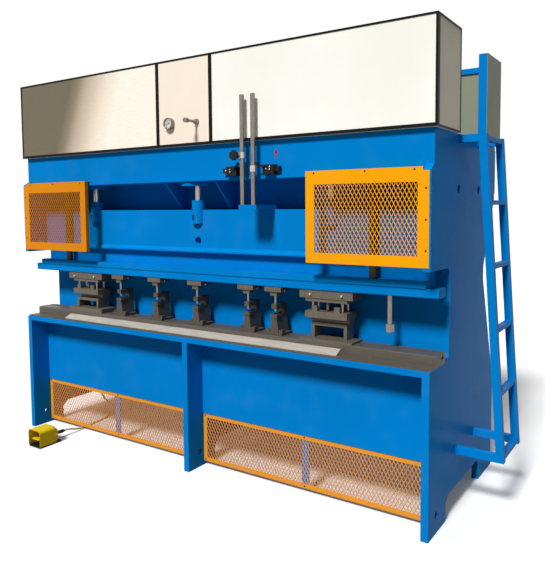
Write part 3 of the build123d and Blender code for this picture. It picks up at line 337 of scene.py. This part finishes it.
for key, names in dress.items():
    for name in names:
        for slot in nodes[name].material_slots:
            slot.material = materials[key]


# Mesh helpers

front_facing = (0, -1, 0)


def add_box(mesh, low, high):
    low, high = Vector(low), Vector(high)
    made = bmesh.ops.create_cube(mesh, size=1)["verts"]
    middle, size = (low + high) / 2, high - low
    for vertex in made:
        vertex.co = middle + Vector(a * b for a, b in zip(vertex.co, size))


def add_turned(mesh, start, axis, profile, sides):
    # Revolves pairs of distance along the axis and radius, closed at both ends
    axis = Vector(axis).normalized()
    across = axis.orthogonal().normalized()
    other = axis.cross(across)
    rings = []
    for along, radius in profile:
        ring = []
        for i in range(sides):
            angle = 2 * math.pi * i / sides
            offset = across * math.cos(angle) * radius + other * math.sin(angle) * radius
            ring.append(mesh.verts.new(Vector(start) + axis * along + offset))
        rings.append(ring)
    for near, far in zip(rings, rings[1:]):
        for i in range(sides):
            mesh.faces.new((near[i], near[(i + 1) % sides], far[(i + 1) % sides], far[i]))
    mesh.faces.new(rings[0][::-1])
    mesh.faces.new(rings[-1])


def finish_piece(mesh, name, key, body, smooth=False):
    bmesh.ops.recalc_face_normals(mesh, faces=mesh.faces)
    data = bpy.data.meshes.new(name)
    mesh.to_mesh(data)
    mesh.free()
    piece = bpy.data.objects.new(name, data)
    bpy.context.scene.collection.objects.link(piece)
    data.materials.append(materials[key])
    if smooth:
        data.shade_smooth()
        data.set_sharp_from_angle(angle=math.radians(35))
    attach(piece, body)
    return piece


# Guards of expanded mesh, at the mesh's real pitch

cell = (0.0225, 0.0425)
strand_width, strand_thickness, strand_tilt = 0.0042, 0.0016, math.radians(28)
smallest_share = 0.05


def add_strand(mesh, start, end):
    # One leaning strand between two knots of the mesh
    along = (end - start).normalized()
    flat = Vector((-along.z, 0, along.x))
    out = Vector((0, 1, 0))
    wide = (flat * math.cos(strand_tilt) + out * math.sin(strand_tilt)) * strand_width / 2
    thick = (out * math.cos(strand_tilt) - flat * math.sin(strand_tilt)) * strand_thickness / 2
    section = ((1, 1), (-1, 1), (-1, -1), (1, -1))
    ends = []
    for point in (start, end):
        ends.append([mesh.verts.new(point + wide * a + thick * b) for a, b in section])
    for i in range(4):
        j = (i + 1) % 4
        mesh.faces.new((ends[0][i], ends[0][j], ends[1][j], ends[1][i]))
    mesh.faces.new(ends[0][::-1])
    mesh.faces.new(ends[1])


def clip(start, end, low, high):
    # The part of a strand that lies inside the opening, or nothing where too little of it does
    near, far = 0.0, 1.0
    for axis in (0, 2):
        step = end[axis] - start[axis]
        bounds = sorted(((low[axis] - start[axis]) / step, (high[axis] - start[axis]) / step))
        near, far = max(near, bounds[0]), min(far, bounds[1])
    if far - near < smallest_share:
        return None
    return start.lerp(end, near), start.lerp(end, far)


def add_expanded_mesh(mesh, low, high, y):
    low, high = Vector((low[0], y, low[1])), Vector((high[0], y, high[1]))
    columns = math.ceil((high.x - low.x) / cell[0]) * 2
    rows = math.ceil((high.z - low.z) / cell[1]) * 2
    for i in range(columns + 1):
        for j in range(rows + 1):
            if (i + j) % 2:
                continue
            start = Vector((low.x + i * cell[0] / 2, y, low.z + j * cell[1] / 2))
            for rise in (1, -1):
                end = start + Vector((cell[0] / 2, 0, rise * cell[1] / 2))
                inside = clip(start, end, low, high)
                if inside:
                    add_strand(mesh, *inside)


def add_window_frame(mesh, low, high, hole_low, hole_high, y, thickness):
    # A flat sheet with one rectangular window, between Y and Y plus its thickness
    corners = []
    for face_y in (y, y + thickness):
        outer = [(low[0], low[1]), (high[0], low[1]), (high[0], high[1]), (low[0], high[1])]
        inside = [(hole_low[0], hole_low[1]), (hole_high[0], hole_low[1]), (hole_high[0], hole_high[1]),
                  (hole_low[0], hole_high[1])]
        corners.append([[mesh.verts.new((x, face_y, z)) for x, z in ring] for ring in (outer, inside)])
    for i in range(4):
        j = (i + 1) % 4
        for outer, inside in corners:
            mesh.faces.new((outer[i], outer[j], inside[j], inside[i]))
        for ring in (0, 1):
            near, far = corners[0][ring], corners[1][ring]
            mesh.faces.new((near[i], near[j], far[j], far[i]))


sheet = 0.003
upper_border = 0.053
upper_border_extra = 0.005
upper_border_below, upper_border_above = 0.056, 0.073
lower_border = 0.028
corner_notch = (0.032, 0.019)
lip_depth = 0.028
foot_depth, foot_setback = 0.021, 0.045


def guard_sides(side, low, high):
    # World X of a guard's edges: the one towards the middle of the press, then the outer one
    return (low.x, high.x) if side > 0 else (high.x, low.x)


def make_upper_guard(side):
    # Folded sheet: a window with mesh, a notch at the outer top corner, and flanges on three sides
    name = "upper_guard_right" if side > 0 else "upper_guard_left"
    low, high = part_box(name)
    inner_x, outer_x = guard_sides(side, low, high)
    hole = sorted((inner_x + side * upper_border, outer_x - side * (upper_border + upper_border_extra)))
    hole_low = (hole[0], low.z + upper_border_below)
    hole_high = (hole[1], high.z - upper_border_above)
    mesh = bmesh.new()
    top = high.z - corner_notch[1]
    add_window_frame(mesh, (low.x, low.z), (high.x, top), hole_low, hole_high, low.y, sheet)
    strip = sorted((inner_x, outer_x - side * corner_notch[0]))
    add_box(mesh, (strip[0], low.y, top), (strip[1], low.y + sheet, high.z))
    add_box(mesh, (strip[0], low.y + sheet, high.z - sheet), (strip[1], high.y, high.z))
    lip = sorted((inner_x, inner_x + side * sheet))
    add_box(mesh, (lip[0], low.y + sheet, low.z), (lip[1], low.y + lip_depth, high.z - sheet))
    foot = sorted((inner_x + side * sheet, outer_x - side * foot_setback))
    add_box(mesh, (foot[0], low.y + sheet, low.z), (foot[1], low.y + foot_depth, low.z + sheet))
    add_expanded_mesh(mesh, hole_low, hole_high, low.y + sheet * 0.6)
    # The left guard takes the darker orange, which is painted shade
    key = "orange" if side > 0 else "shaded_left_orange"
    piece = finish_piece(mesh, name + "_mesh", key, "frame")
    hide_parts(name)
    return (low, high)


def make_lower_guard(side):
    # Flat frame with mesh between the feet
    name = "lower_guard_right" if side > 0 else "lower_guard_left"
    low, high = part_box(name)
    mesh = bmesh.new()
    hole_low = (low.x + lower_border, low.z + lower_border)
    hole_high = (high.x - lower_border, high.z - lower_border)
    add_window_frame(mesh, (low.x, low.z), (high.x, high.z), hole_low, hole_high, low.y, sheet)
    add_expanded_mesh(mesh, hole_low, hole_high, low.y + sheet * 0.5)
    piece = finish_piece(mesh, name + "_mesh", "lower_orange", "frame")
    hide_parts(name)


upper_boxes = {side: make_upper_guard(side) for side in (-1, 1)}
for side in (-1, 1):
    make_lower_guard(side)


# Screws and bolts

def add_screw(mesh, place, radius, height):
    # Domed head that faces the operator
    profile = [(0, radius), (height * 0.45, radius * 0.95), (height * 0.8, radius * 0.7),
               (height, radius * 0.3)]
    add_turned(mesh, place, front_facing, profile, 16)


def add_cap_screw(mesh, place, axis, radius, height):
    # Cylinder head with a turned edge
    add_turned(mesh, place, axis, [(0, radius), (height * 0.85, radius), (height, radius * 0.85)], 20)


screw_radius, screw_height = 0.005, 0.0035
top_row, top_row_drop = (0.051, 0.347, 0.609), 0.012
side_row, side_row_inset = (0.103, 0.255, 0.405), 0.0165
lower_row, lower_row_inset = (0.01, 0.5, 0.99), 0.013


def make_guard_screws():
    # Small dark heads along the edges of the guards
    mesh = bmesh.new()
    for side, (low, high) in upper_boxes.items():
        inner_x, outer_x = guard_sides(side, low, high)
        for drop in side_row:
            place = (outer_x - side * side_row_inset, low.y, high.z - drop)
            add_screw(mesh, place, screw_radius, screw_height)
        for step in top_row:
            place = (inner_x + side * step, low.y, high.z - top_row_drop)
            add_screw(mesh, place, screw_radius, screw_height)
    for name in ("lower_guard_left", "lower_guard_right"):
        low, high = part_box(name)
        for share in lower_row:
            x = low.x + (high.x - low.x) * share
            for z in (low.z + lower_row_inset, high.z - lower_row_inset):
                add_screw(mesh, (x, low.y, z), screw_radius, screw_height)
    finish_piece(mesh, "guard_screws", "dark_tool", "frame", smooth=True)


shoe_face = depth(112)
shoe_screws = ((-1.154, 1.173), (-0.943, 1.176), (0.846, 1.177), (1.043, 1.178))
unit_middles = (-0.705, -0.357, -0.007, 0.395, 0.592)
adaptor_half, adaptor_middle, adaptor_screw_height = 0.0575, depth(150), 1.179
cap_radius, shoe_cap, adaptor_cap = 0.0065, 0.012, 0.007


def make_tool_bolts():
    # Cap screws in the front of the two wide shoes, and one in the right side of each narrow adaptor
    mesh = bmesh.new()
    for x, z in shoe_screws:
        add_cap_screw(mesh, (x, shoe_face, z), front_facing, cap_radius, shoe_cap)
    for middle in unit_middles:
        place = (middle + adaptor_half, adaptor_middle, adaptor_screw_height)
        add_cap_screw(mesh, place, (1, 0, 0), cap_radius, adaptor_cap)
    finish_piece(mesh, "tool_bolts", "bright", "ram", smooth=True)


left_switch_screws = ((0.376, 1.881), (0.376, 1.868), (0.346, 1.876))
right_switch_screws = ((0.651, 1.886), (0.651, 1.873), (0.628, 1.876))
switch_screw_radius, switch_screw_height = 0.0042, 0.0022


def make_switch_screws():
    # Plated screws in the faces of the two limit switches
    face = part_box("switch_bodies")[0].y
    mesh = bmesh.new()
    for x, z in left_switch_screws + right_switch_screws:
        add_screw(mesh, (x, face, z), switch_screw_radius, switch_screw_height)
    finish_piece(mesh, "switch_screws", "bright", "frame", smooth=True)


stop_places = (-0.955, 0, 0.955)
stop_flange_thickness = 0.025
shank_radius, shank_length = 0.0201, 0.12


def make_stop_shanks():
    # Bare steel of the three stop rods between their painted flanges and the ram's sleeves
    low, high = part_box("stop_rods")
    middle_y = (low.y + high.y) / 2
    profile = [(0, shank_radius), (shank_length, shank_radius)]
    mesh = bmesh.new()
    for x in stop_places:
        add_turned(mesh, (x, middle_y, high.z - stop_flange_thickness), (0, 0, -1), profile, 32)
    finish_piece(mesh, "stop_shanks", "bright", "frame", smooth=True)


make_tool_bolts()
make_switch_screws()
make_stop_shanks()
make_guard_screws()


# Gauge dial and its numbers

dial_setback = 0.0134
dial_radius, dial_thickness, dial_sink = 0.0305, 0.0004, 0.0005
scale_start, scale_turn, scale_marks = -135, 270, 30
marks_per_number = 5
mark_outer, long_mark_inner, short_mark_inner = 0.0285, 0.0225, 0.0255
long_mark_half, short_mark_half, mark_height = 0.0006, 0.0003, 0.0002
number_radius, number_size, number_thickness = 0.0185, 0.0062, 0.0001


def scale_angle(mark):
    return math.radians(scale_start + scale_turn / scale_marks * mark)


def add_mark(mesh, centre, mark):
    # One line of the scale, as a low block on the dial
    angle = scale_angle(mark)
    out = Vector((math.sin(angle), 0, math.cos(angle)))
    side = Vector((math.cos(angle), 0, -math.sin(angle)))
    is_long = mark % marks_per_number == 0
    inner = long_mark_inner if is_long else short_mark_inner
    half = long_mark_half if is_long else short_mark_half
    outline = ((inner, -half), (inner, half), (mark_outer, half), (mark_outer, -half))
    corners = [centre + out * radius + side * offset for radius, offset in outline]
    base = [mesh.verts.new(corner) for corner in corners]
    top = [mesh.verts.new(corner + Vector(front_facing) * mark_height) for corner in corners]
    mesh.faces.new(base)
    mesh.faces.new(top)
    for i in range(4):
        j = (i + 1) % 4
        mesh.faces.new((base[i], base[j], top[j], top[i]))


def make_number(index, middle, face):
    angle = scale_angle(marks_per_number * index)
    data = bpy.data.curves.new(f"gauge_number_{index}", "FONT")
    data.body = str(marks_per_number * index)
    data.size = number_size
    data.align_x = "CENTER"
    data.align_y = "CENTER"
    data.extrude = number_thickness
    data.materials.append(materials["dial_ink"])
    number = bpy.data.objects.new(f"gauge_number_{index}", data)
    bpy.context.scene.collection.objects.link(number)
    place = Vector((middle.x + math.sin(angle) * number_radius, face - 0.0003,
                    middle.z + math.cos(angle) * number_radius))
    number.matrix_world = Matrix.Translation(place) @ Matrix.Rotation(math.radians(90), 4, "X")
    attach(number, "frame")


def make_gauge():
    low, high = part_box("gauge_case")
    middle = (low + high) / 2
    face = low.y + dial_setback
    mesh = bmesh.new()
    plate = [(0, dial_radius), (dial_thickness, dial_radius)]
    add_turned(mesh, (middle.x, face + dial_sink, middle.z), front_facing, plate, 48)
    finish_piece(mesh, "gauge_dial", "dial", "frame")
    mesh = bmesh.new()
    for mark in range(scale_marks + 1):
        add_mark(mesh, Vector((middle.x, face, middle.z)), mark)
    finish_piece(mesh, "gauge_marks", "dial_ink", "frame")
    for index in range(scale_marks // marks_per_number + 1):
        make_number(index, middle, face)


make_gauge()


# Valve collar and arrow mark

collar_profile = [(0.0, 0.019), (0.006, 0.019), (0.009, 0.016), (0.02, 0.014), (0.022, 0.012)]
arrow_x, arrow_low, arrow_neck, arrow_tip = 0.665, 1.932, 1.962, 1.99
arrow_half, arrow_wing = 0.0045, 0.013
arrow_face = depth(46)


def make_valve_collar():
    low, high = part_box("valve_knob")
    middle = (low + high) / 2
    panel_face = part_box("cover_panel_centre")[0].y
    mesh = bmesh.new()
    add_turned(mesh, (middle.x, panel_face, middle.z), front_facing, collar_profile, 28)
    finish_piece(mesh, "valve_collar", "rod", "frame", smooth=True)


def make_arrow():
    # Painted mark on the head that points up
    outline = [(-arrow_half, arrow_low), (arrow_half, arrow_low), (arrow_half, arrow_neck),
               (arrow_wing, arrow_neck), (0, arrow_tip), (-arrow_wing, arrow_neck),
               (-arrow_half, arrow_neck)]
    mesh = bmesh.new()
    near = [mesh.verts.new((arrow_x + a, arrow_face - 0.0006, z)) for a, z in outline]
    far = [mesh.verts.new((arrow_x + a, arrow_face - 0.0001, z)) for a, z in outline]
    mesh.faces.new(near)
    mesh.faces.new(far[::-1])
    for i in range(len(outline)):
        j = (i + 1) % len(outline)
        mesh.faces.new((near[i], near[j], far[j], far[i]))
    finish_piece(mesh, "direction_arrow", "red", "frame")


make_valve_collar()
make_arrow()


# Conduit from the pedal to the terminal box

conduit_route = [
    (-1.170, depth(-15), 0.045),
    (-1.170, depth(25), 0.045),
    (-1.173, depth(90), 0.022),
    (-1.183, depth(165), 0.0095),
    (-1.196, depth(250), 0.0074),
    (-1.211, depth(340), 0.0073),
    (-1.221, depth(432), 0.008),
    (-1.246, depth(515), 0.018),
    (-1.303, depth(580), 0.040),
    (-1.381, depth(612), 0.050),
    (-1.440, depth(618), 0.062),
    (-1.482, depth(618), 0.092),
    (-1.505, depth(618), 0.138),
    (-1.505, depth(618), 0.188),
]
conduit_radius = 0.007


def make_conduit():
    data = bpy.data.curves.new("pedal_conduit_line", "CURVE")
    data.dimensions = "3D"
    spline = data.splines.new("NURBS")
    spline.points.add(len(conduit_route) - 1)
    for point, place in zip(spline.points, conduit_route):
        point.co = (*place, 1)
    spline.order_u = 3
    spline.use_endpoint_u = True
    data.resolution_u = 16
    data.bevel_depth = conduit_radius
    data.bevel_resolution = 6
    data.use_fill_caps = True
    data.materials.append(materials["conduit"])
    conduit = bpy.data.objects.new("pedal_conduit_line", data)
    bpy.context.scene.collection.objects.link(conduit)
    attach(conduit, "frame")
    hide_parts("pedal_conduit")


make_conduit()


# Floor, light and surroundings

floor_half, floor_level = 30, -0.0005
floor_lighting, floor_seen = (0.26, 0.26, 0.25, 1), (1, 1, 1, 1)


def make_stage():
    # Pale floor: white to the eye, and darker to the light that it throws back on the object
    mesh = bmesh.new()
    corners = []
    for across, along in ((-1, -1), (1, -1), (1, 1), (-1, 1)):
        corners.append(mesh.verts.new((across * floor_half, along * floor_half, floor_level)))
    mesh.faces.new(corners)
    data = bpy.data.meshes.new("floor")
    mesh.to_mesh(data)
    mesh.free()
    floor = bpy.data.objects.new("floor", data)
    bpy.context.scene.collection.objects.link(floor)
    material = bpy.data.materials.new("pale_floor")
    material.use_nodes = True
    tree = material.node_tree
    shader = tree.nodes["Principled BSDF"]
    shader.inputs["Roughness"].default_value = 1.0
    shader.inputs["Specular IOR Level"].default_value = 0.0
    tone = tree.nodes.new("ShaderNodeMix")
    tone.data_type = "RGBA"
    tone.inputs[6].default_value = floor_lighting
    tone.inputs[7].default_value = floor_seen
    tree.links.new(seen_rays(tree), tone.inputs[0])
    tree.links.new(tone.outputs[2], shader.inputs["Base Color"])
    data.materials.append(material)


def seen_rays(tree):
    # One for rays of the camera, of gloss and of glass, and nought for diffuse light
    path = tree.nodes.new("ShaderNodeLightPath")
    total = path.outputs["Is Camera Ray"]
    for name in ("Is Glossy Ray", "Is Transmission Ray"):
        either = tree.nodes.new("ShaderNodeMath")
        either.operation = "MAXIMUM"
        tree.links.new(total, either.inputs[0])
        tree.links.new(path.outputs[name], either.inputs[1])
        total = either.outputs[0]
    return total


dim_side, bright_side, dim_until = 0.09, 0.62, -0.4
bright_from = Vector((-0.5, 0.8, 0.3)).normalized()
key_strength, key_spread, key_place = 3.7, math.radians(12), (0, -4, 6)
key_travel = Vector((-0.06, 1.0, -1.05))


def make_world():
    # White to the eye, and a soft fill for the object that grows towards the back and the left
    world = bpy.data.worlds.new("studio")
    bpy.context.scene.world = world
    world.use_nodes = True
    tree = world.node_tree
    background = tree.nodes["Background"]
    background.inputs["Color"].default_value = (1, 1, 1, 1)
    direction = tree.nodes.new("ShaderNodeTexCoord").outputs["Generated"]
    share = tree.nodes.new("ShaderNodeVectorMath")
    share.operation = "DOT_PRODUCT"
    share.inputs[1].default_value = bright_from
    tree.links.new(direction, share.inputs[0])
    fill = tree.nodes.new("ShaderNodeMapRange")
    fill.interpolation_type = "SMOOTHSTEP"
    fill.inputs["From Min"].default_value = dim_until
    fill.inputs["To Min"].default_value = dim_side
    fill.inputs["To Max"].default_value = bright_side
    tree.links.new(share.outputs["Value"], fill.inputs["Value"])
    level = tree.nodes.new("ShaderNodeMapRange")
    level.inputs["To Max"].default_value = 1.0
    tree.links.new(seen_rays(tree), level.inputs["Value"])
    tree.links.new(fill.outputs["Result"], level.inputs["To Min"])
    tree.links.new(level.outputs["Result"], background.inputs["Strength"])


def add_key():
    # High window light from the front, a little from the right
    data = bpy.data.lights.new("key", "SUN")
    data.energy = key_strength
    data.angle = key_spread
    lamp = bpy.data.objects.new("key", data)
    bpy.context.scene.collection.objects.link(lamp)
    lamp.location = key_place
    lamp.rotation_euler = key_travel.to_track_quat("-Z", "Y").to_euler()


make_stage()
make_world()
add_key()
bpy.context.scene.view_settings.view_transform = "Standard"
